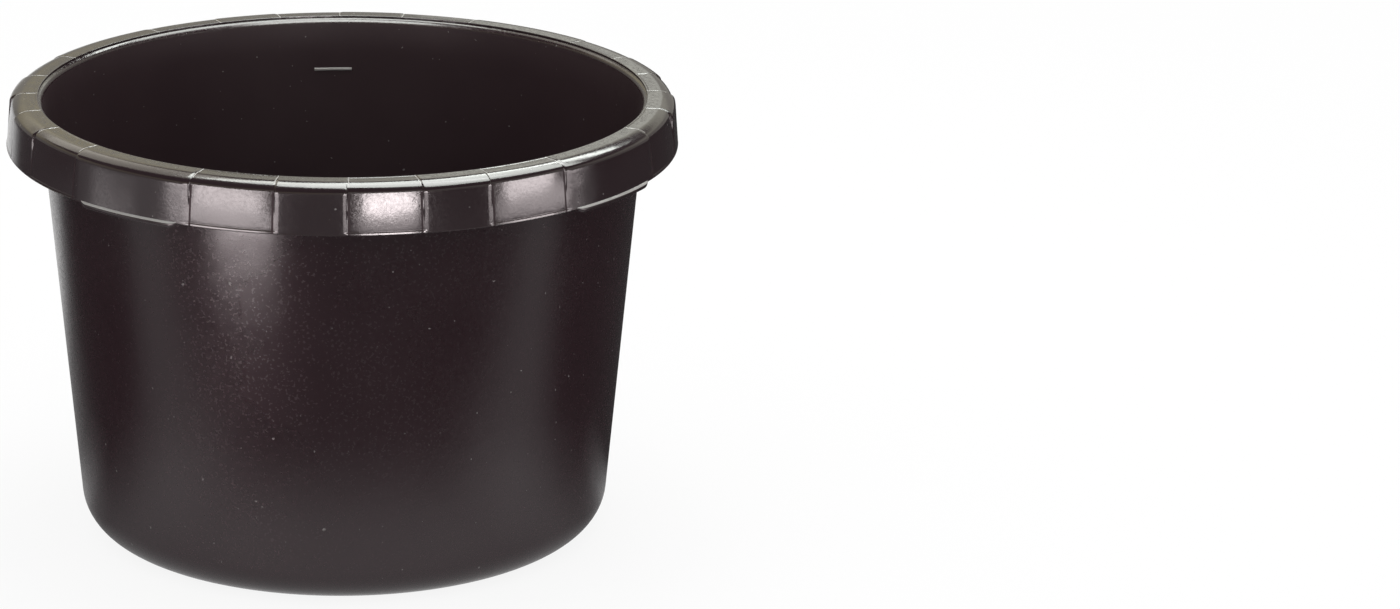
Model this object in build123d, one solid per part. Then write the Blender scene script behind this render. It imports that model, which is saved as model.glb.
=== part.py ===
from build123d import *
import math
import os

# Round builder's tub, in millimetres: the base stands on z = 0 and the tub's axis is +Z.
# The four grips lie on the X and Y axes, and front is -Y.

# Drum: tapered wall, rounded heel and flat bottom
height = 422.0
wall_base_radius = 248.0  # outside of the wall, carried straight down to the base plane
wall_slope = 5.0  # degrees from upright, wider at the top
wall_thickness = 4.0
heel_radius = 39.0
floor_thickness = 5.0
relief_depth = 1.5  # hollow under the bottom, so that the tub stands on its edge
relief_margin = 18.0  # standing ring left round that hollow

# Rim: flat deck, rolled shoulder and skirt
finger_gap = 26.9  # between the top of the wall and the inside of the skirt's bottom edge
rim_depth = 45.5
rim_thickness = 3.5
inner_edge_radius = 2.0
crown_radius = 20.0  # first, gentle part of the shoulder
crown_turn = 35.0  # degrees
shoulder_radius = 7.0  # second, tighter part of the shoulder
skirt_lean = 4.5  # degrees from upright, wider at the bottom
panel_edge_round = 0.8

# Pockets: panels that are set back from the skirt and let into the deck
pocket_crown_radius = 16.5
pocket_lean = 7.0
pocket_set_back = 0.5  # at the bottom edge
pocket_drop = 0.3  # below the deck
pocket_ledge = 1.5  # flat strip of each pocket between the deck ring and its shoulder
deck_border = 5.0  # unbroken band along the inner edge
lip_height = 3.5

# Rim pattern of a quarter: half a grip, end pocket, plain, middle pocket, plain, end pocket, half a grip
quarter = 90.0
grip_angle = 24.7
end_pocket_angle = 14.5  # beside a grip
middle_pocket_angle = 12.3
plain_angle = (quarter - grip_angle - 2 * end_pocket_angle - middle_pocket_angle) / 2

# Round bead under each grip
bead_radius = 3.0
bead_overhang = 2.2  # beyond the skirt
bead_drop = 1.0  # its centre below the bottom edge of the skirt
bead_inset_angle = 2.2  # from each end of the grip

# Webs under the rim, one behind each short panel
web_thickness = 2.5
web_rise_at_wall = 4.0  # lower corners of a web above the bottom of the skirt
web_rise_at_skirt = 12.0

# Level mark on the inside of the wall
mark_below_rim = 52.5
mark_angle = 130.5  # from +X, seen from above
mark_length = 37.0
mark_width = 3.0
mark_relief = 1.4
mark_seat_gap = 0.05

skirt_bottom = height - rim_depth
deck_bottom = height - rim_thickness
mark_height = height - mark_below_rim


def wall_outer(z):
    """Radius of the wall's outside at a height."""
    return wall_base_radius + z * math.tan(math.radians(wall_slope))


def wall_inner(z):
    """Radius of the wall's inside at a height."""
    return wall_outer(z) - wall_thickness


rim_radius = wall_outer(deck_bottom) + finger_gap + rim_thickness


def polygon(*points):
    """Flat face with straight sides."""
    return make_face(Polyline(*points, close=True))


def turned(section, start, arc):
    """Solid of a section in radius and height, turned round the tub's axis."""
    return Rot(0, 0, start) * revolve(Plane.XZ * section, Axis.Z, arc)


def at_angle(point, angle):
    """Point of a section, carried round the tub's axis."""
    turn = math.radians(angle)
    return Vector(point.X * math.cos(turn), point.X * math.sin(turn), point.Y)


def drum_members():
    """Floor, base ring and wall: one bowl, cut where the heel's curve starts and ends."""
    outside_corner = (wall_base_radius, 0)
    inside_corner = (wall_inner(floor_thickness), floor_thickness)
    section = polygon(
        (0, 0),
        outside_corner,
        (wall_outer(deck_bottom), deck_bottom),
        (wall_inner(deck_bottom), deck_bottom),
        inside_corner,
        (0, floor_thickness),
    )
    inside_radius = heel_radius - wall_thickness
    section = fillet(section.vertices().sort_by_distance(outside_corner)[0], heel_radius)
    section = fillet(section.vertices().sort_by_distance(inside_corner)[0], inside_radius)
    bowl = turned(section, 0, 360)

    slope = math.radians(wall_slope)
    run_per_radius = math.tan((math.pi / 2 - slope) / 2)
    outside_run = heel_radius * run_per_radius
    inside_run = inside_radius * run_per_radius
    floor_radius = min(wall_base_radius - outside_run, inside_corner[0] - inside_run)
    heel_top = max(outside_run * math.cos(slope), floor_thickness + inside_run * math.cos(slope))

    on_base = (Align.CENTER, Align.CENTER, Align.MIN)
    core = Cylinder(floor_radius, height, align=on_base)
    relief = Cylinder(floor_radius - relief_margin, relief_depth, align=on_base)
    shell = bowl - core
    cut = Plane.XY.offset(heel_top)
    return {
        "floor": (bowl & core) - relief,
        "base_ring": split(shell, bisect_by=cut, keep=Keep.BOTTOM),
        "wall": split(shell, bisect_by=cut, keep=Keep.TOP),
    }


class SkirtLine:
    """Line of a skirt panel in radius and height: over the shoulder and down the leaning face."""

    def __init__(self, top, foot_radius, lean_degrees, crown):
        turn = math.radians(crown_turn)
        lean = math.radians(lean_degrees)
        step = crown - shoulder_radius
        drop = crown - step * math.cos(turn) - shoulder_radius * math.sin(lean)
        run = step * math.sin(turn) + shoulder_radius * math.cos(lean)
        face_run = (top - drop - skirt_bottom) * math.tan(lean)
        self.top = top
        self.lean = lean
        self.crown_start = foot_radius - face_run - run
        self.crown = crown
        self.crown_centre = Vector(self.crown_start, top - crown)
        self.crown_normal = Vector(math.sin(turn), math.cos(turn))
        self.crown_heading = Vector(math.cos(turn), -math.sin(turn))
        self.shoulder_centre = self.crown_centre + self.crown_normal * step
        self.face_normal = Vector(math.cos(lean), math.sin(lean))

    def face_top(self, depth):
        """Point where the shoulder runs into the face, a depth below the surface."""
        return self.shoulder_centre + self.face_normal * (shoulder_radius - depth)

    def face_point(self, depth, z):
        """Point of the face at a height, a depth below the surface."""
        start = self.face_top(depth)
        return Vector(start.X + (start.Y - z) * math.tan(self.lean), z)

    def edges(self, depth, bottom):
        """Edges from the deck joint down to a height, a depth below the surface."""
        deck_end = Vector(self.crown_start, self.top - depth)
        bend = self.crown_centre + self.crown_normal * (self.crown - depth)
        return [
            Line((deck_radius, self.top - depth), deck_end),
            TangentArc(deck_end, bend, tangent=(1, 0)),
            TangentArc(bend, self.face_top(depth), tangent=self.crown_heading),
            Line(self.face_top(depth), self.face_point(depth, bottom)),
        ]

    def section(self):
        """Closed section of the panel."""
        outside = self.edges(0, skirt_bottom)
        inside = self.edges(rim_thickness, skirt_bottom)
        joint = Line(outside[0] @ 0, inside[0] @ 0)
        foot = Line(outside[-1] @ 1, inside[-1] @ 1)
        return make_face(outside + inside + [joint, foot])

    def web_blank(self):
        """Section of a web that still reaches half way into the panel it stands behind."""
        top_and_skirt = self.edges(rim_thickness / 2, skirt_bottom + web_rise_at_skirt)
        wall_bottom = skirt_bottom + web_rise_at_wall
        wall_side = Polyline(
            top_and_skirt[0] @ 0,
            (deck_radius, deck_bottom),
            (wall_outer(deck_bottom), deck_bottom),
            (wall_outer(wall_bottom), wall_bottom),
            top_and_skirt[-1] @ 1,
        )
        return make_face(top_and_skirt + [wall_side])


proud_line = SkirtLine(height, rim_radius, skirt_lean, crown_radius)
pocket_line = SkirtLine(
    height - pocket_drop, rim_radius - pocket_set_back, pocket_lean, pocket_crown_radius
)
deck_radius = pocket_line.crown_start - pocket_ledge


def rim_deck(pocket_places):
    """Flat ring on the wall, with a shallow pocket at each recessed panel."""
    inner_corner = (wall_inner(height), height)
    section = polygon(
        (wall_inner(deck_bottom), deck_bottom),
        inner_corner,
        (deck_radius, height),
        (deck_radius, deck_bottom),
    )
    section = fillet(section.vertices().sort_by_distance(inner_corner)[0], inner_edge_radius)
    pocket_inner = wall_inner(height) + deck_border
    pocket_section = polygon(
        (pocket_inner, height - pocket_drop),
        (rim_radius, height - pocket_drop),
        (rim_radius, height + pocket_drop),
        (pocket_inner, height + pocket_drop),
    )
    return turned(section, 0, 360) - [turned(pocket_section, start, arc) for start, arc in pocket_places]


def proud_panel(arc):
    """Proud panel of the skirt, with both its outer ends rounded."""
    panel = turned(proud_line.section(), 0, arc)
    ends = [
        panel.edges().sort_by_distance(at_angle(edge @ 0.5, angle))[0]
        for angle in (0, arc)
        for edge in proud_line.edges(0, skirt_bottom)
    ]
    return fillet(ends, panel_edge_round)


def grip():
    """Long proud panel with a round bead under its bottom edge."""
    bead_centre = Pos(rim_radius + bead_overhang - bead_radius, skirt_bottom - bead_drop)
    bead_arc = grip_angle - 2 * bead_inset_angle
    bead = turned(bead_centre * Circle(bead_radius), bead_inset_angle, bead_arc)
    return proud_panel(grip_angle) + bead


def pocket_panel(arc):
    """Recessed panel with a lip along its bottom edge."""
    lip = polygon(
        pocket_line.face_point(0, skirt_bottom + lip_height),
        (rim_radius, skirt_bottom + lip_height / 2),
        (rim_radius, skirt_bottom),
        pocket_line.face_point(rim_thickness / 2, skirt_bottom),
        pocket_line.face_point(rim_thickness / 2, skirt_bottom + lip_height),
    )
    return turned(pocket_line.section() + lip, 0, arc)


def rim_web(line, panel, deck, start, arc):
    """Upright web behind the middle of a panel, fitted to the panel and the deck."""
    web_arc = math.degrees(web_thickness / deck_radius)
    return turned(line.web_blank(), start + (arc - web_arc) / 2, web_arc) - panel - deck


def level_mark():
    """Short raised bar that follows the inside of the wall."""
    low = mark_height - mark_width / 2
    high = mark_height + mark_width / 2
    crest = wall_inner(mark_height) - mark_relief
    section = polygon(
        (wall_inner(low) - mark_seat_gap, low),
        (wall_inner(high) - mark_seat_gap, high),
        (crest, mark_height + mark_width / 4),
        (crest, mark_height - mark_width / 4),
    )
    arc = math.degrees(mark_length / wall_inner(mark_height))
    return turned(section, mark_angle - arc / 2, arc)


# Panels in order round the rim, counter-clockwise from the front grip: start and arc of each
grip_names = ("grip_front", "grip_right", "grip_back", "grip_left")
grip_places = []
pocket_places = []
plain_places = []
for index in range(len(grip_names)):
    angle = (index - 1) * quarter - grip_angle / 2
    for places, arc in (
        (grip_places, grip_angle),
        (pocket_places, end_pocket_angle),
        (plain_places, plain_angle),
        (pocket_places, middle_pocket_angle),
        (plain_places, plain_angle),
        (pocket_places, end_pocket_angle),
    ):
        places.append((angle, arc))
        angle += arc

nodes = drum_members()
deck = rim_deck(pocket_places)
nodes["rim_deck"] = deck

hand_grip = grip()
for name, (start, arc) in zip(grip_names, grip_places):
    nodes[name] = Rot(0, 0, start) * hand_grip

webs = []
pockets = {arc: pocket_panel(arc) for arc in (end_pocket_angle, middle_pocket_angle)}
for number, (start, arc) in enumerate(pocket_places, 1):
    panel = Rot(0, 0, start) * pockets[arc]
    nodes[f"pocket_panel_{number:02d}"] = panel
    webs.append(rim_web(pocket_line, panel, deck, start, arc))
plain = proud_panel(plain_angle)
for number, (start, arc) in enumerate(plain_places, 1):
    panel = Rot(0, 0, start) * plain
    nodes[f"plain_panel_{number}"] = panel
    webs.append(rim_web(proud_line, panel, deck, start, arc))
for number, web in enumerate(webs, 1):
    nodes[f"rim_web_{number:02d}"] = web

nodes["level_mark"] = level_mark()

os.makedirs("parts", exist_ok=True)
for name, solid in nodes.items():
    export_step(solid, f"parts/{name}.step")
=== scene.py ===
import math

import bpy
from mathutils import Matrix, Vector


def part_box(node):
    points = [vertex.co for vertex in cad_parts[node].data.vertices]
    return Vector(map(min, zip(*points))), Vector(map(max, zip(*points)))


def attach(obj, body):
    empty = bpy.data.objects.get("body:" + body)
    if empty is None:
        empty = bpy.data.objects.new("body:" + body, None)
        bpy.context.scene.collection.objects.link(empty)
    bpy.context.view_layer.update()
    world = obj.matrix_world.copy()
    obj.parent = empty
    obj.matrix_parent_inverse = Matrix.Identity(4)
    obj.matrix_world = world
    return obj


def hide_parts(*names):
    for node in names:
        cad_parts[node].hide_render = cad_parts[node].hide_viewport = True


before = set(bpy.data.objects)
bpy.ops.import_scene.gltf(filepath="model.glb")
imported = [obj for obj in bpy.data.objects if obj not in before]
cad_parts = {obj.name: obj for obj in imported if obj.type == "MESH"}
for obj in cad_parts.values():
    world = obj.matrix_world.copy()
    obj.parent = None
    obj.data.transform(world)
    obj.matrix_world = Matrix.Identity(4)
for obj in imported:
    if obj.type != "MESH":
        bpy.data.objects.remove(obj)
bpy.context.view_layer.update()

# Drum: floor plate, rounded heel and tapered wall
# The bowl of the tub is black polyethylene, moulded in one with a fine satin grain and about 4 mm
# thick. The bottom is hollowed slightly, so that the tub stands on its outer edge, and the wall's top
# bends outwards under the rim in a small round.
wall_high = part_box("wall")[1]
heel_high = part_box("base_ring")[1]
plate_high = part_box("floor")[1]
wall_thickness = 0.004
heel_radius = 0.039
relief_depth = 0.0015
relief_margin = 0.018
wall_slope = math.atan2(wall_high.x - heel_high.x, wall_high.z - heel_high.z)
drum_steps = 240


class Wire:
    """Output of a shader node that can be used in sums."""

    def __init__(self, finish, socket):
        self.finish = finish
        self.socket = socket

    def sum(self, operation, first, second):
        node = self.finish.node("ShaderNodeMath", {"operation": operation}, {0: first, 1: second})
        return node["Value"]

    def __add__(self, other):
        return self.sum("ADD", self, other)

    def __radd__(self, other):
        return self.sum("ADD", other, self)

    def __sub__(self, other):
        return self.sum("SUBTRACT", self, other)

    def __rsub__(self, other):
        return self.sum("SUBTRACT", other, self)

    def __mul__(self, other):
        return self.sum("MULTIPLY", self, other)

    def __rmul__(self, other):
        return self.sum("MULTIPLY", other, self)


class Node:
    """Shader node whose outputs are read by name."""

    def __init__(self, finish, node):
        self.finish = finish
        self.node = node

    def __getitem__(self, name):
        return Wire(self.finish, self.node.outputs[name])


class Finish:
    """Shader of a material or a world, with one method that adds any node."""

    def __init__(self, owner):
        owner.use_nodes = True
        self.tree = owner.node_tree
        self.tree.nodes.clear()

    def node(self, kind, settings=None, inputs=None):
        node = self.tree.nodes.new(kind)
        for key, value in (settings or {}).items():
            setattr(node, key, value)
        for key, value in (inputs or {}).items():
            if isinstance(value, Wire):
                self.tree.links.new(value.socket, node.inputs[key])
            else:
                node.inputs[key].default_value = value
        return Node(self, node)

    def noise(self, place, scale, detail, stretch=None):
        """Soft noise from 0 to 1, with a scale in lumps to the metre."""
        if stretch:
            place = self.node("ShaderNodeMapping", {}, {"Vector": place, "Scale": stretch})["Vector"]
        inputs = {"Vector": place, "Scale": scale, "Detail": detail}
        return self.node("ShaderNodeTexNoise", {}, inputs)["Fac"]

    def ramp(self, value, low, high):
        """Value stretched from a range to 0 and 1, and clamped there."""
        inputs = {"Value": value, "From Min": low, "From Max": high}
        return self.node("ShaderNodeMapRange", {}, inputs)["Result"]

    def mix(self, factor, first, second):
        """Colour between two colours."""
        first_colour, second_colour, mixed_colour = 6, 7, 2
        inputs = {"Factor": factor, first_colour: first, second_colour: second}
        return self.node("ShaderNodeMix", {"data_type": "RGBA"}, inputs)[mixed_colour]

    def close(self, shader):
        """Send a shader to the material's surface."""
        self.node("ShaderNodeOutputMaterial", {}, {"Surface": shader})


def moulded_plastic(name, colour, dust, shine, gloss, mottle, grain_size, grain_depth):
    """Black polyethylene with a moulded grain, an uneven skin, faint draw lines and a little dust."""
    material = bpy.data.materials.new(name)
    finish = Finish(material)
    place = finish.node("ShaderNodeTexCoord")["Object"]
    cloud = finish.noise(place, scale=9.0, detail=3.0)
    ripple = finish.noise(place, scale=38.0, detail=1.0)
    skin = finish.noise(place, scale=380.0, detail=2.0)
    draw = finish.noise(place, scale=60.0, detail=3.0, stretch=(1.0, 1.0, 0.06))
    grain = finish.noise(place, scale=1.0 / grain_size, detail=2.0)
    speck = finish.ramp(finish.noise(place, scale=210.0, detail=1.0), 0.775, 0.80)
    dust_cover = 0.6
    speck_cover = 0.35
    speck_colour = (0.32, 0.31, 0.30, 1.0)
    base = finish.mix(finish.ramp(cloud, 0.3, 0.75) * dust_cover, colour, dust)
    base = finish.mix(speck * speck_cover, base, speck_colour)
    cloud_haze = 0.08
    draw_haze = 0.02
    speck_haze = 0.2
    rough = gloss + (cloud - 0.5) * cloud_haze + (skin - 0.5) * mottle
    rough = rough + (draw - 0.5) * draw_haze + speck * speck_haze
    ripple_depth = 0.0002
    skin_depth = 0.00004
    draw_depth = 0.00001
    relief = grain * grain_depth + ripple * ripple_depth + skin * skin_depth + draw * draw_depth
    bump = finish.node("ShaderNodeBump", {}, {"Strength": 1.0, "Distance": 1.0, "Height": relief})
    inputs = {"Base Color": base, "Roughness": rough, "Normal": bump["Normal"]}
    inputs |= {"IOR": 1.45, "Specular IOR Level": shine}
    finish.close(finish.node("ShaderNodeBsdfPrincipled", {}, inputs)["BSDF"])
    return material


drum_grain = {"grain_size": 0.0009, "grain_depth": 0.000008}
satin_black = moulded_plastic(
    "satin_black_polyethylene",
    (0.0172, 0.0070, 0.0096, 1.0),
    (0.0210, 0.0092, 0.0120, 1.0),
    shine=0.5,
    gloss=0.23,
    mottle=0.3,
    **drum_grain,
)
# Lighter, matter black: painted light on the tub's inside faces, and painted shade in the strips at the
# ends of the sunk panels.
painted_lift_and_shade_black = moulded_plastic(
    "scuffed_black_polyethylene",
    (0.0260, 0.0150, 0.0176, 1.0),
    (0.0330, 0.0200, 0.0225, 1.0),
    shine=0.12,
    gloss=0.42,
    mottle=0.1,
    **drum_grain,
)


def arc_line(centre, radius, start, end, count):
    """Points of an arc in radius and height; its angles are tilts from straight up, in radians."""
    angles = [start + (end - start) * step / count for step in range(count + 1)]
    return [(centre[0] + radius * math.sin(a), centre[1] + radius * math.cos(a)) for a in angles]


def outline_vertices(name, outline):
    """Object in edit mode whose mesh is a line through points in radius and height."""
    bpy.ops.object.select_all(action="DESELECT")
    bpy.ops.mesh.primitive_plane_add(size=0.01)
    piece = bpy.context.object
    piece.name = name
    bpy.ops.object.mode_set(mode="EDIT")
    bpy.ops.mesh.select_all(action="SELECT")
    bpy.ops.mesh.merge(type="CENTER")
    bpy.ops.transform.translate(value=(outline[0][0], 0, outline[0][1]))
    for (r, z), (next_r, next_z) in zip(outline, outline[1:]):
        bpy.ops.mesh.extrude_region_move(TRANSFORM_OT_translate={"value": (next_r - r, 0, next_z - z)})
    bpy.ops.mesh.select_all(action="SELECT")
    return piece


seam_gap = 0.000002
sharp_edge = math.radians(40)


def finish_mesh(piece, material):
    """Close the seams, turn the faces outwards, smooth the shading and attach the piece to the tub."""
    bpy.ops.mesh.select_all(action="SELECT")
    bpy.ops.mesh.remove_doubles(threshold=seam_gap)
    bpy.ops.mesh.normals_make_consistent(inside=False)
    bpy.ops.object.mode_set(mode="OBJECT")
    bpy.ops.object.shade_smooth_by_angle(angle=sharp_edge)
    piece.data.materials.clear()
    piece.data.materials.append(material)
    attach(piece, "root")


def turned_piece(name, outline):
    """Ring of a closed outline, or disc of one that starts and ends on the axis, with its inside faces
    in a lighter, matter black that is painted light.
    """
    closed = outline if outline[0][0] == 0 else outline + outline[:1]
    piece = outline_vertices(name, closed)
    bpy.ops.mesh.spin(steps=drum_steps, angle=2 * math.pi, center=(0, 0, 0), axis=(0, 0, 1))
    finish_mesh(piece, satin_black)
    # Inside faces take the lighter, matter black: painted light that lifts the shaded inside of the tub.
    piece.data.materials.append(painted_lift_and_shade_black)
    mouth_middle = Vector((0, 0, wall_high.z))
    for face in piece.data.polygons:
        face.material_index = int(face.normal.dot(mouth_middle - face.center) > 0)
    return piece


quarter_turn = math.pi / 2
wall_base = heel_high.x - heel_high.z * math.tan(wall_slope)
heel_run = heel_radius * math.tan((quarter_turn - wall_slope) / 2)
heel_centre = (wall_base - heel_run, heel_radius)
inner_heel_radius = heel_radius - wall_thickness
plate_top = plate_high.z
inner_base = wall_base - wall_thickness + plate_top * math.tan(wall_slope)
inner_heel_run = inner_heel_radius * math.tan((quarter_turn - wall_slope) / 2)
inner_heel_centre = (inner_base - inner_heel_run, plate_top + inner_heel_radius)
wall_normal = quarter_turn + wall_slope
heel_steps = 16

heel_outside = arc_line(heel_centre, heel_radius, math.pi, wall_normal, heel_steps)
heel_inside = arc_line(inner_heel_centre, inner_heel_radius, wall_normal, math.pi, heel_steps)
heel_outline = (
    [(plate_high.x, 0)]
    + heel_outside
    + [(heel_high.x, heel_high.z), (heel_high.x - wall_thickness, heel_high.z)]
    + heel_inside
    + [(plate_high.x, plate_top)]
)
heel = turned_piece("drum_heel", heel_outline)
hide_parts("base_ring")

wall_rows = 12
rise = (wall_high.z - heel_high.z) / wall_rows
spread = (wall_high.x - heel_high.x) / wall_rows
wall_outside = [(heel_high.x + spread * row, heel_high.z + rise * row) for row in range(wall_rows + 1)]
wall_inside = [(r - wall_thickness, z) for r, z in reversed(wall_outside)]
mouth_radius = 0.006
mouth_step = 0.0018
mouth_centre = (wall_inside[0][0] + mouth_radius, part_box("rim_deck")[1].z - mouth_step - mouth_radius)
mouth_start = math.asin((wall_high.z - mouth_centre[1]) / mouth_radius)
mouth_steps = 4
mouth_line = arc_line(mouth_centre, mouth_radius, mouth_start - quarter_turn, -quarter_turn, mouth_steps)
wall = turned_piece("drum_wall", wall_outside + mouth_line[:-1] + wall_inside[1:])
# The round of the mouth has the outside's finish
for face in wall.data.polygons:
    if face.center.z > mouth_centre[1]:
        face.material_index = 0
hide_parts("wall")

relief_radius = plate_high.x - relief_margin
plate_outline = [
    (0, relief_depth),
    (relief_radius - relief_depth, relief_depth),
    (relief_radius, 0),
    (plate_high.x, 0),
    (plate_high.x, plate_top),
    (0, plate_top),
]
plate = turned_piece("drum_floor", plate_outline)
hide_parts("floor")

# Rim deck: flat ring at the top of the wall
# The ring is part of the same moulding, with a worn, shinier face. It steps down to the round of the
# mouth, and a shallow bed is sunk in it at each recessed panel, with a fine ridge near its ends whose
# top is pale grey, a painted highlight.
deck_low, deck_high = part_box("rim_deck")
rim_top = deck_high.z
rim_thickness = deck_high.z - deck_low.z
deck_radius = deck_high.x
deck_border = 0.0062
hairline_place = 0.00107
hairline_width = 0.00106
hairline_height = 0.00028
pocket_drop = rim_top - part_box("pocket_panel_01")[1].z

grip_arc = math.radians(24.7)
end_pocket_arc = math.radians(14.5)
middle_pocket_arc = math.radians(12.3)
plain_arc = (quarter_turn - grip_arc - 2 * end_pocket_arc - middle_pocket_arc) / 2
quarter_pattern = (
    ("grip", grip_arc),
    ("pocket", end_pocket_arc),
    ("plain", plain_arc),
    ("pocket", middle_pocket_arc),
    ("plain", plain_arc),
    ("pocket", end_pocket_arc),
)

rim_grain = {"grain_size": 0.0012, "grain_depth": 0.000006}
rim_black = (0.0190, 0.0108, 0.0128, 1.0)
rim_dust = (0.0240, 0.0146, 0.0166, 1.0)
gloss_black = moulded_plastic(
    "gloss_black_polyethylene", rim_black, rim_dust, shine=0.5, gloss=0.15, mottle=0.2, **rim_grain
)
worn_black = moulded_plastic(
    "worn_black_polyethylene", rim_black, rim_dust, shine=0.5, gloss=0.17, mottle=0.75, **rim_grain
)
# Pale grey: a painted highlight, on the tops of the fine ridges, the bead's crest and the level mark.
painted_highlight_grey = moulded_plastic(
    "dusty_black_polyethylene",
    (0.24, 0.23, 0.22, 1.0),
    (0.60, 0.59, 0.57, 1.0),
    shine=0.3,
    gloss=0.4,
    mottle=0.2,
    **rim_grain,
)


def eased(distance, width):
    """Smooth step from 0 to 1 across a width that is centred on distance 0."""
    share = min(max(distance / width + 0.5, 0.0), 1.0)
    return share * share * (3 - 2 * share)


def spin_arc(arc, steps):
    """Carry the selected section on round the tub's axis, counter-clockwise."""
    bpy.ops.mesh.spin(steps=steps, angle=-arc, center=(0, 0, 0), axis=(0, 0, 1))


inner_radius = wall_high.x - wall_thickness + rim_thickness * math.tan(wall_slope)
bed_radius = inner_radius + deck_border
bed_flank = 0.0016
step_radius = 0.0005
ledge_tilt = -math.radians(15)
ledge_rows = 8
ledge_line = arc_line(mouth_centre, mouth_radius, mouth_start - quarter_turn, ledge_tilt, ledge_rows)
step_draft = 0.0001
step_rows = 4
step_corner = (ledge_line[-1][0] + step_draft + step_radius, rim_top - step_radius)
flank_rows = 6
deck_outline = (
    ledge_line
    + arc_line(step_corner, step_radius, -quarter_turn, 0, step_rows)
    + [(bed_radius + bed_flank * (row / flank_rows - 0.5), rim_top) for row in range(flank_rows + 1)]
    + [(deck_radius, rim_top), (deck_radius, deck_low.z)]
)
deck = outline_vertices("rim_deck_ring", deck_outline + deck_outline[:1])
end_rows = 9
middle_rows = 10
quarters = 4
row_gap = 0.00002
end_arc = 1.5 * bed_flank / deck_radius
start_angle = -quarter_turn - grip_arc / 2
bpy.ops.transform.rotate(value=-start_angle, orient_axis="Z", center_override=(0, 0, 0))
panel_places = {"grip": [], "pocket": [], "plain": []}
angle = start_angle
for kind, arc in quarter_pattern * quarters:
    spin_arc(end_arc, end_rows)
    spin_arc(arc - 2 * end_arc, middle_rows)
    spin_arc(end_arc, end_rows)
    panel_places[kind].append((angle, arc))
    angle += arc
bpy.ops.mesh.select_all(action="SELECT")
bpy.ops.mesh.remove_doubles(threshold=row_gap)
bpy.ops.object.mode_set(mode="OBJECT")


def place_round_axis(point):
    """Radius and bearing of a point, seen from above."""
    return math.hypot(point.x, point.y), math.atan2(point.y, point.x)


def bed_place(point):
    """Radius of a point, and its distance inside the nearest end of a recessed panel."""
    radius, bearing = place_round_axis(point)
    within = [
        arc / 2 - abs(math.remainder(bearing - start - arc / 2, 2 * math.pi))
        for start, arc in panel_places["pocket"]
    ]
    return radius, max(within) * radius


def on_hairline(inset):
    """Whether a distance inside the end of a recessed panel lies on the ridge."""
    return abs(inset - hairline_place) < hairline_width / 2


face_tolerance = 0.00001
for vertex in deck.data.vertices:
    if vertex.co.z > rim_top - face_tolerance:
        radius, inset = bed_place(vertex.co)
        sunk = eased(inset, bed_flank) * eased(radius - bed_radius, bed_flank)
        hairline = max(1 - abs(inset - hairline_place) / (hairline_width / 2), 0)
        vertex.co.z -= sunk * (pocket_drop - hairline_height * hairline)
bpy.ops.object.mode_set(mode="EDIT")
finish_mesh(deck, worn_black)
deck.data.materials.append(painted_highlight_grey)
top_band = 0.0005
top_facing = 0.5
# The tops of the fine ridges in the beds take the pale grey: a painted highlight.
for face in deck.data.polygons:
    radius, inset = bed_place(face.center)
    on_top = face.normal.z > top_facing and face.center.z > rim_top - top_band
    face.material_index = int(on_top and on_hairline(inset))
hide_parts("rim_deck")

# Rim skirt: recessed pockets and proud panels
# The skirt hangs from the deck over a rolled shoulder. Twelve short panels are sunk in it and lean more,
# with a small lip at the bottom, a strip of painted shade in matt black down each end and a painted
# highlight in pale grey on the fine ridges of the crown. Eight short panels and four long grips stand
# proud, and their ends roll over and drop to the sunk panels.
grip_low, grip_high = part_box("grip_right")
skirt_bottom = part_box("plain_panel_1")[0].z
bead_overhang = 0.0022
rim_radius = grip_high.x - bead_overhang
crown_radius = 0.020
crown_turn = math.radians(35)
shoulder_radius = 0.007
skirt_lean = math.radians(4.5)
pocket_crown_radius = 0.0165
pocket_lean = math.radians(7.0)
pocket_set_back = 0.0005
pocket_belly = 0.0005
lip_height = 0.0035
foot_round = 0.0008
foot_rows = 4
lip_lean = math.radians(9)
lip_face = 0.0024
roll_drop = 0.0007
plain_roll = 0.005
grip_roll = 0.008
end_draft = 0.0010
painted_shade_width = 0.0019
shoulder_drop = 0.009
shoulder_roll = 0.45
panel_end_rows = 10
panel_rows = 16


def skirt_line(top, foot, lean, crown, belly, lip_reach, depth):
    """Line of a panel from the deck to its foot, a depth below its outer face."""
    step = crown - shoulder_radius
    drop = crown - step * math.cos(crown_turn) - shoulder_radius * math.sin(lean)
    run = step * math.sin(crown_turn) + shoulder_radius * math.cos(lean)
    crown_start = foot - (top - drop - skirt_bottom) * math.tan(lean) - run
    bend = (crown_start + step * math.sin(crown_turn), top - crown + step * math.cos(crown_turn))
    crown_rows, shoulder_rows, face_rows, lip_rows = 8, 10, 12, 8
    line = [(deck_radius, top - depth)]
    line += arc_line((crown_start, top - crown), crown - depth, 0, crown_turn, crown_rows)
    line += arc_line(bend, shoulder_radius - depth, crown_turn, quarter_turn - lean, shoulder_rows)[1:]
    face_r, face_z = line[-1]
    fall = face_z - skirt_bottom
    for row in range(1, face_rows + 1):
        share = (1 - lip_height / fall) * row / face_rows
        bulge = belly * 4 * share * (1 - share)
        line.append((face_r + fall * share * math.tan(lean) + bulge, face_z - fall * share))
    for row in range(1, lip_rows + 1):
        z = skirt_bottom + lip_height * (1 - row / lip_rows)
        plain_r = face_r + (face_z - z) * math.tan(lean)
        lip_r = foot + lip_reach - (z - skirt_bottom) * math.tan(lip_lean)
        share = eased(skirt_bottom + (lip_height + lip_face) / 2 - z, lip_height - lip_face)
        line.append((plain_r + (lip_r - plain_r) * share if lip_reach else plain_r, z))
    return line


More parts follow.
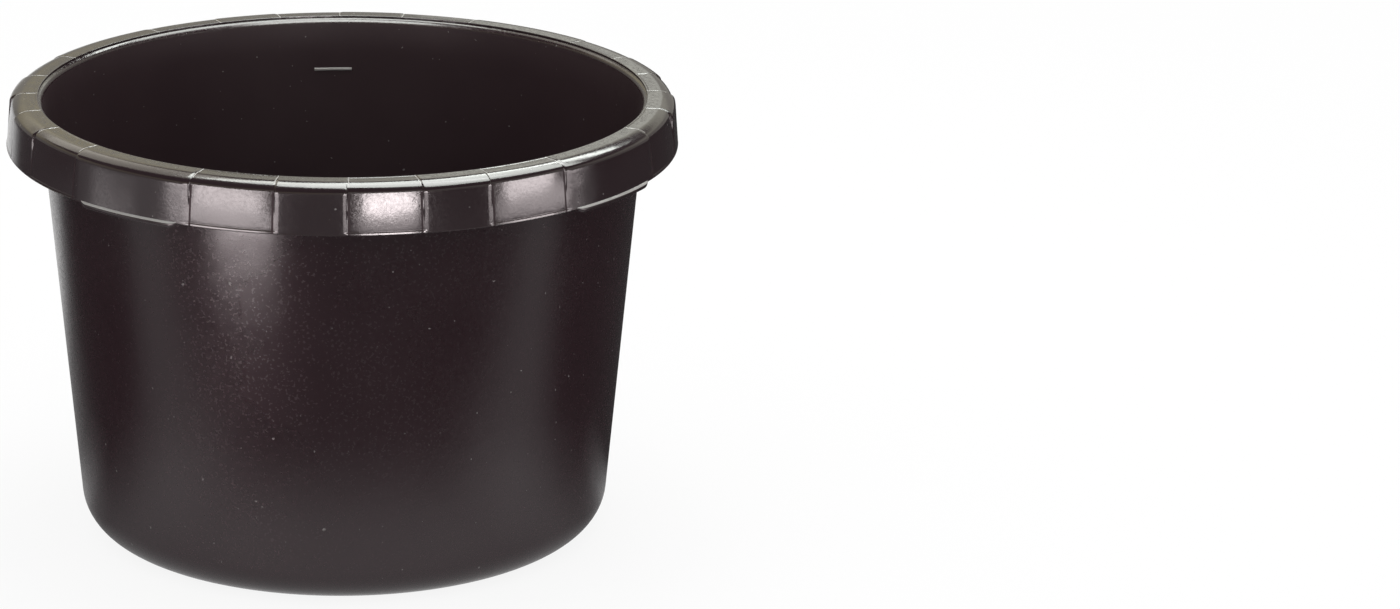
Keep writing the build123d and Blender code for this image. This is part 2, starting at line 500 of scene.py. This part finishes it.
def skirt_outline(top, foot, lean, crown, belly, lip_reach):
    """Closed section of a panel, with a small round along the outside of its foot."""
    outside = skirt_line(top, foot, lean, crown, belly, lip_reach, 0)
    foot_r, foot_z = outside[-1]
    corner = (foot_r - foot_round, foot_z + foot_round)
    outside = [point for point in outside if point[1] > corner[1]]
    outside += arc_line(corner, foot_round, quarter_turn, math.pi, foot_rows)
    inside = skirt_line(top, foot, lean, crown, belly, 0, rim_thickness)
    return outside + inside[::-1]


proud_outline = skirt_outline(rim_top, rim_radius, skirt_lean, crown_radius, 0, 0)
pocket_outline = skirt_outline(
    rim_top - pocket_drop,
    rim_radius - pocket_set_back,
    pocket_lean,
    pocket_crown_radius,
    pocket_belly,
    pocket_set_back,
)

# Step at the end of a panel, row by row: the way from the proud to the sunk surface and its depth
least_step = 0.0001
panel_steps = []
for row, (r, z) in enumerate(proud_outline):
    way = Vector(pocket_outline[row]) - Vector((r, z))
    along = Vector(proud_outline[(row + 1) % len(proud_outline)]) - Vector(proud_outline[row - 1])
    panel_steps.append((way, max(abs(way.cross(along.normalized())), least_step)))


def skirt_panel(name, outline, arc, end_width):
    """Panel of the skirt, with finer rows near its ends."""
    piece = outline_vertices(name, outline)
    bpy.ops.mesh.edge_face_add()
    bpy.ops.mesh.select_all(action="SELECT")
    end_arc = end_width / rim_radius
    spin_arc(end_arc, panel_end_rows)
    spin_arc(arc - 2 * end_arc, panel_rows)
    spin_arc(end_arc, panel_end_rows)
    return piece


def roll_ends(piece, arc, end_width):
    """Roll the ends of a proud panel over and draft them to the sunk surface."""
    bpy.ops.object.mode_set(mode="OBJECT")
    for vertex in piece.data.vertices:
        radius, bearing = place_round_axis(vertex.co)
        spot = (radius, vertex.co.z)
        row = min(range(len(proud_outline)), key=lambda i: math.dist(proud_outline[i], spot))
        way, depth = panel_steps[row]
        width = end_width * min(max((rim_top - vertex.co.z) / shoulder_drop, shoulder_roll), 1)
        inset = min(bearing, arc - bearing) * rim_radius
        share = min(roll_drop / depth, 1) * max(1 - inset / width, 0) ** 2
        share += (1 - share) * max(1 - inset / end_draft, 0)
        vertex.co.x += way.x * share * math.cos(bearing)
        vertex.co.y += way.x * share * math.sin(bearing)
        vertex.co.z += way.y * share
    bpy.ops.object.mode_set(mode="EDIT")


def place_copies(master, starts):
    """Copies of a panel, each with its own mesh, turned to their places round the rim."""
    for name, start in starts.items():
        bpy.ops.object.select_all(action="DESELECT")
        master.select_set(True)
        bpy.context.view_layer.objects.active = master
        bpy.ops.object.duplicate()
        copy = bpy.context.object
        copy.name = "rim_" + name
        copy.data.transform(Matrix.Rotation(start, 4, "Z"))
        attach(copy, "root")
        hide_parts(name)
    bpy.data.objects.remove(master)


pocket_places = {f"pocket_panel_{n:02d}": place for n, place in enumerate(panel_places["pocket"], 1)}
crown_facing = 0.85
painted_highlight_index, painted_shade_index = 1, 2
for pocket_arc in (end_pocket_arc, middle_pocket_arc):
    pocket = skirt_panel("pocket", pocket_outline, pocket_arc, plain_roll)
    finish_mesh(pocket, gloss_black)
    pocket.data.materials.append(painted_highlight_grey)
    pocket.data.materials.append(painted_lift_and_shade_black)
    # Below the shoulder, a strip at each end of a sunk panel takes the matt black: painted shade of the
    # step between the panels.
    for face in pocket.data.polygons:
        radius, bearing = place_round_axis(face.center)
        inset = min(bearing, pocket_arc - bearing) * deck_radius
        below_shoulder = face.center.z < rim_top - shoulder_drop
        if below_shoulder and inset < painted_shade_width:
            face.material_index = painted_shade_index
        # Upward-facing ridge faces on the crown take the pale grey: a painted highlight.
        elif not below_shoulder and face.normal.z > crown_facing and on_hairline(inset):
            face.material_index = painted_highlight_index
    starts = {name: start for name, (start, arc) in pocket_places.items() if arc == pocket_arc}
    place_copies(pocket, starts)

plain = skirt_panel("plain", proud_outline, plain_arc, plain_roll)
roll_ends(plain, plain_arc, plain_roll)
finish_mesh(plain, gloss_black)
plain_starts = {f"plain_panel_{n}": start for n, (start, arc) in enumerate(panel_places["plain"], 1)}
place_copies(plain, plain_starts)

# Grips: the four long panels, each with a round bead under it
# The bead is the finger hold of the moulding. It hangs below the skirt and stands a little proud of it,
# tapers to an end short of the grip's ends, and its upward-facing faces are pale grey, a painted
# highlight.
bead_drop = 0.001
bead_radius = skirt_bottom - bead_drop - grip_low.z
bead_inset = math.radians(2.2)
bead_sides = 28
bead_taper = 0.009
bead_end_size = 0.25
grip = skirt_panel("grip", proud_outline, grip_arc, grip_roll)
roll_ends(grip, grip_arc, grip_roll)
finish_mesh(grip, gloss_black)
bead_centre = (rim_radius + bead_overhang - bead_radius, skirt_bottom - bead_drop)
bead_ring = arc_line(bead_centre, bead_radius, 0, 2 * math.pi, bead_sides)[:-1]
bead = outline_vertices("bead", bead_ring)
bpy.ops.mesh.edge_face_add()
bpy.ops.mesh.select_all(action="SELECT")
bpy.ops.transform.rotate(value=-bead_inset, orient_axis="Z", center_override=(0, 0, 0))
bead_arc = grip_arc - 2 * bead_inset
taper_arc = bead_taper / rim_radius
spin_arc(taper_arc, panel_end_rows)
spin_arc(bead_arc - 2 * taper_arc, 2 * panel_rows)
spin_arc(taper_arc, panel_end_rows)
bpy.ops.object.mode_set(mode="OBJECT")
bead_top = (bead_centre[0], bead_centre[1] + bead_radius)
for vertex in bead.data.vertices:
    radius, bearing = place_round_axis(vertex.co)
    inset = min(bearing - bead_inset, grip_arc - bead_inset - bearing) * rim_radius
    size = 1 - (1 - bead_end_size) * max(1 - inset / bead_taper, 0) ** 2
    radius = bead_top[0] + (radius - bead_top[0]) * size
    vertex.co = (
        radius * math.cos(bearing),
        radius * math.sin(bearing),
        bead_top[1] + (vertex.co.z - bead_top[1]) * size,
    )
bpy.ops.object.mode_set(mode="EDIT")
finish_mesh(bead, gloss_black)
# Upward-facing faces of the bead take the pale grey: a painted highlight along its crest.
bead.data.materials.append(painted_highlight_grey)
crest_facing = 0.35
for face in bead.data.polygons:
    face.material_index = int(face.normal.z > crest_facing)
bpy.ops.object.select_all(action="DESELECT")
bead.select_set(True)
grip.select_set(True)
bpy.context.view_layer.objects.active = grip
bpy.ops.object.join()
grip_sides = ("front", "right", "back", "left")
grip_starts = {f"grip_{side}": start for side, (start, arc) in zip(grip_sides, panel_places["grip"])}
place_copies(grip, grip_starts)

# Webs under the rim and the level mark inside the wall
# Thin upright webs stiffen the short panels from behind, and a short raised bar, pale grey all over as a
# painted highlight, marks a filling level. Both are moulded with the tub and keep their CAD shape.
for name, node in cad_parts.items():
    if name.startswith("rim_web"):
        node.data.materials.clear()
        node.data.materials.append(gloss_black)
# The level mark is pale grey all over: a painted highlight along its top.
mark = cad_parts["level_mark"]
mark.data.materials.clear()
mark.data.materials.append(painted_highlight_grey)

# Viewpoint
# A long lens stands at the height of a person's eyes, a good four metres away, and looks down over
# the rim into the tub. It faces the panels between the front grip and the right-hand one.
camera_turn = math.radians(38.3)
camera_distance = 4.3694
camera_height = 1.6237
camera_pitch = math.radians(17.874)
camera_swing = math.radians(4.4443)
camera_roll = math.radians(1.14)
lens_length = 123.56
sensor_width = 36.0

camera_data = bpy.data.cameras.new("viewpoint")
camera_data.lens = lens_length
camera_data.sensor_width = sensor_width
camera = bpy.data.objects.new("viewpoint", camera_data)
bpy.context.scene.collection.objects.link(camera)
stand = Vector((math.sin(camera_turn), -math.cos(camera_turn), 0)) * camera_distance
stand.z = camera_height
camera.matrix_world = (
    Matrix.Translation(stand)
    @ Matrix.Rotation(camera_turn - camera_swing, 4, "Z")
    @ Matrix.Rotation(quarter_turn - camera_pitch, 4, "X")
    @ Matrix.Rotation(camera_roll, 4, "Z")
)
bpy.context.scene.camera = camera

# Studio: pale floor, white room and soft lamps
# The tub stands on white paper in a white room, under one soft lamp. In its gloss the paper is dim, but
# brighter beside the tub, and the room is a low, warm band under a dim ceiling. White and faintly
# tinted cards stand round the tub for its highlights.
floor_radius = 14.0
floor_sides = 64
white = (1.0, 1.0, 1.0, 1.0)
paper_white = (0.85, 0.85, 0.85, 1.0)
paper_dark = (0.02, 0.02, 0.02, 1.0)
paper_glow = 0.88


def gloss_rays(finish):
    """1 for what is seen in the gloss of the plastic, and 0 for the rest."""
    path = finish.node("ShaderNodeLightPath")
    return path["Is Glossy Ray"] + path["Is Transmission Ray"]


def blended(finish, factor, first, second):
    """Shader between two shaders."""
    return finish.node("ShaderNodeMixShader", {}, {0: factor, 1: first, 2: second})["Shader"]


bpy.ops.object.select_all(action="DESELECT")
bpy.ops.mesh.primitive_circle_add(vertices=floor_sides, radius=floor_radius, fill_type="NGON")
floor = bpy.context.object
floor.name = "studio_floor"
paper_material = bpy.data.materials.new("white_paper")
paper = Finish(paper_material)
spot = paper.node("ShaderNodeSeparateXYZ", {}, {"Vector": paper.node("ShaderNodeTexCoord")["Object"]})
ahead = spot["X"] * math.sin(camera_turn) - spot["Y"] * math.cos(camera_turn)
aside = spot["X"] * math.cos(camera_turn) + spot["Y"] * math.sin(camera_turn)
breadth = aside * aside
# Brightness of the paper in the gloss, by its place in metres ahead of the tub's axis and aside of it:
# round the foot, in front, in a strip at either side, along both edges behind, and far out
near = paper.ramp(ahead * ahead + breadth, 0.30, 0.12)
front = paper.ramp(ahead, 0.0, 0.35)
beside = paper.ramp(ahead, 0.10, 0.25) * paper.ramp(ahead, 0.52, 0.36) * paper.ramp(breadth, 0.05, 0.14)
left_edge = paper.ramp(ahead * 0.67 - aside, 0.43, 0.13) * paper.ramp(aside, -0.10, -0.25)
left_edge = left_edge * (
    0.3 + 0.45 * paper.ramp(ahead, -0.15, -0.05) + 0.7 * paper.ramp(ahead, -0.40, -0.75)
)
right_edge = paper.ramp(ahead * 0.67 + aside, 0.43, 0.13) * paper.ramp(aside, 0.10, 0.25)
right_edge = right_edge * 0.7 * paper.ramp(ahead, -0.13, -0.04)
behind = paper.ramp(ahead, 0.06, -0.02) * (left_edge + right_edge)
far = paper.ramp(ahead * ahead + breadth, 1.2, 4.0) * paper.ramp(aside, 2.4, 1.2)
far = far * paper.ramp(ahead, -1.0, 0.0)
far_left = paper.ramp(aside, -0.8, -2.0) * (0.1 + 0.9 * paper.ramp(ahead, -0.4, 0.4))
glimmer = 0.03 + front * (0.06 + near * 1.1) + beside * 0.5 + behind + far * 0.2 + far_left * 0.5
matt = paper.node("ShaderNodeBsdfDiffuse", {}, {"Color": paper_white})["BSDF"]
dark = paper.node("ShaderNodeBsdfDiffuse", {}, {"Color": paper_dark})["BSDF"]
glow = paper.node("ShaderNodeEmission", {}, {"Color": white, "Strength": 1.0})["Emission"]
seen = paper.node("ShaderNodeLightPath")["Is Camera Ray"]
shown = blended(paper, seen * paper_glow, matt, glow)
glossed = blended(paper, glimmer, dark, glow)
paper.close(blended(paper, gloss_rays(paper), shown, glossed))
floor.data.materials.append(paper_material)

world = bpy.data.worlds.new("studio_room")
bpy.context.scene.world = world
room = Finish(world)
direction = room.node("ShaderNodeTexCoord")["Generated"]
sky = room.node("ShaderNodeSeparateXYZ", {}, {"Vector": direction})
sideways = sky["X"] * math.cos(camera_turn) + sky["Y"] * math.sin(camera_turn)
leftward = room.ramp(sideways, -0.015, -0.065)


def between_elevations(low, high):
    """Share from 0 to 1 between two elevations of the room, in degrees."""
    return room.ramp(sky["Z"], math.sin(math.radians(low)), math.sin(math.radians(high)))


def painted(colour):
    """Plain part of the room."""
    return room.node("ShaderNodeBackground", {}, {"Color": colour, "Strength": 1.0})["Background"]


right_wall = painted((1.0, 0.99, 0.84, 1.0))
left_wall = painted((0.9, 0.83, 0.56, 1.0))
low_wall = painted((0.5, 0.49, 0.44, 1.0))
ceiling = painted((0.06, 0.06, 0.06, 1.0))
high_wall = blended(room, leftward, right_wall, left_wall)
far_wall = blended(room, between_elevations(15.4, 13.8), high_wall, low_wall)
glossed = blended(room, between_elevations(22, 28), far_wall, ceiling)
whole_room = blended(room, gloss_rays(room), painted(white), glossed)
room.node("ShaderNodeOutputWorld", {}, {"Surface": whole_room})


def soft_lamp(name, bearing, distance, height, size, radiance, colour):
    """Rectangular lamp that faces the rim, at a bearing from the camera's side of the tub."""
    lamp = bpy.data.lights.new(name, "AREA")
    lamp.shape = "RECTANGLE"
    lamp.size, lamp.size_y = size
    lamp.energy = radiance * size[0] * size[1] * math.pi
    lamp.color = colour
    body = bpy.data.objects.new(name, lamp)
    bpy.context.scene.collection.objects.link(body)
    turn = camera_turn + math.radians(bearing)
    place = Vector((math.sin(turn) * distance, -math.cos(turn) * distance, height))
    body.location = place
    body.rotation_euler = (Vector((0, 0, rim_top)) - place).to_track_quat("-Z", "Y").to_euler()
    body.visible_camera = False
    return body


def gloss_card(name, bearing, distance, height, size, radiance, colour):
    """Bright card that only shows in the gloss of the plastic."""
    card = soft_lamp(name, bearing, distance, height, size, radiance, colour)
    card.visible_diffuse = False
    return card


plain_white = (1.0, 1.0, 1.0)
cool_white = (0.96, 1.0, 0.95)
straw_white = (1.0, 0.95, 0.82)
rose_white = (1.0, 0.90, 0.91)
# Bearing in degrees, distance, height and size in metres, radiance and colour
soft_lamp("overhead_lamp", 150, 0.5, 2.6, (1.2, 1.2), 4.0, plain_white)
gloss_card("overhead_card", 141, 0.89, 2.8, (2.8, 2.0), 11.0, cool_white)
gloss_card("left_overhead_card", -145, 1.7, 2.3, (1.5, 1.8), 2.0, straw_white)
gloss_card("right_overhead_card", 153, 2.2, 2.33, (1.4, 0.42), 14.0, cool_white)
gloss_card("right_back_card", 171.5, 2.22, 1.03, (0.45, 0.35), 0.6, cool_white)
gloss_card("left_back_card", -150, 2.4, 1.75, (1.8, 0.9), 0.5, straw_white)
gloss_card("left_upper_card", -37, 2.6, 0.42, (1.1, 0.30), 18.0, rose_white)
gloss_card("left_lower_card", -40, 2.6, 0.13, (1.64, 0.26), 9.8, rose_white)
gloss_card("middle_upper_card", 14, 2.6, 0.42, (0.75, 0.30), 35.0, rose_white)
gloss_card("middle_lower_card", 14, 2.6, 0.13, (0.90, 0.26), 5.3, rose_white)
gloss_card("right_upper_card", 61, 2.6, 0.42, (0.85, 0.30), 19.0, rose_white)
gloss_card("right_lower_card", 66, 2.6, 0.13, (1.54, 0.26), 7.4, rose_white)
gloss_card("left_low_card", -33.5, 0.92, 0.105, (0.32, 0.11), 22.0, rose_white)
gloss_card("left_side_card", -77, 1.75, 0.07, (0.53, 0.14), 1.6, rose_white)
mouth_card = gloss_card("mouth_card", 0, 0.08, 0.915, (0.5, 0.40), 20.0, cool_white)
mouth_card.rotation_euler = (math.radians(66.6), 0, camera_turn)

bpy.context.scene.view_settings.view_transform = "Standard"
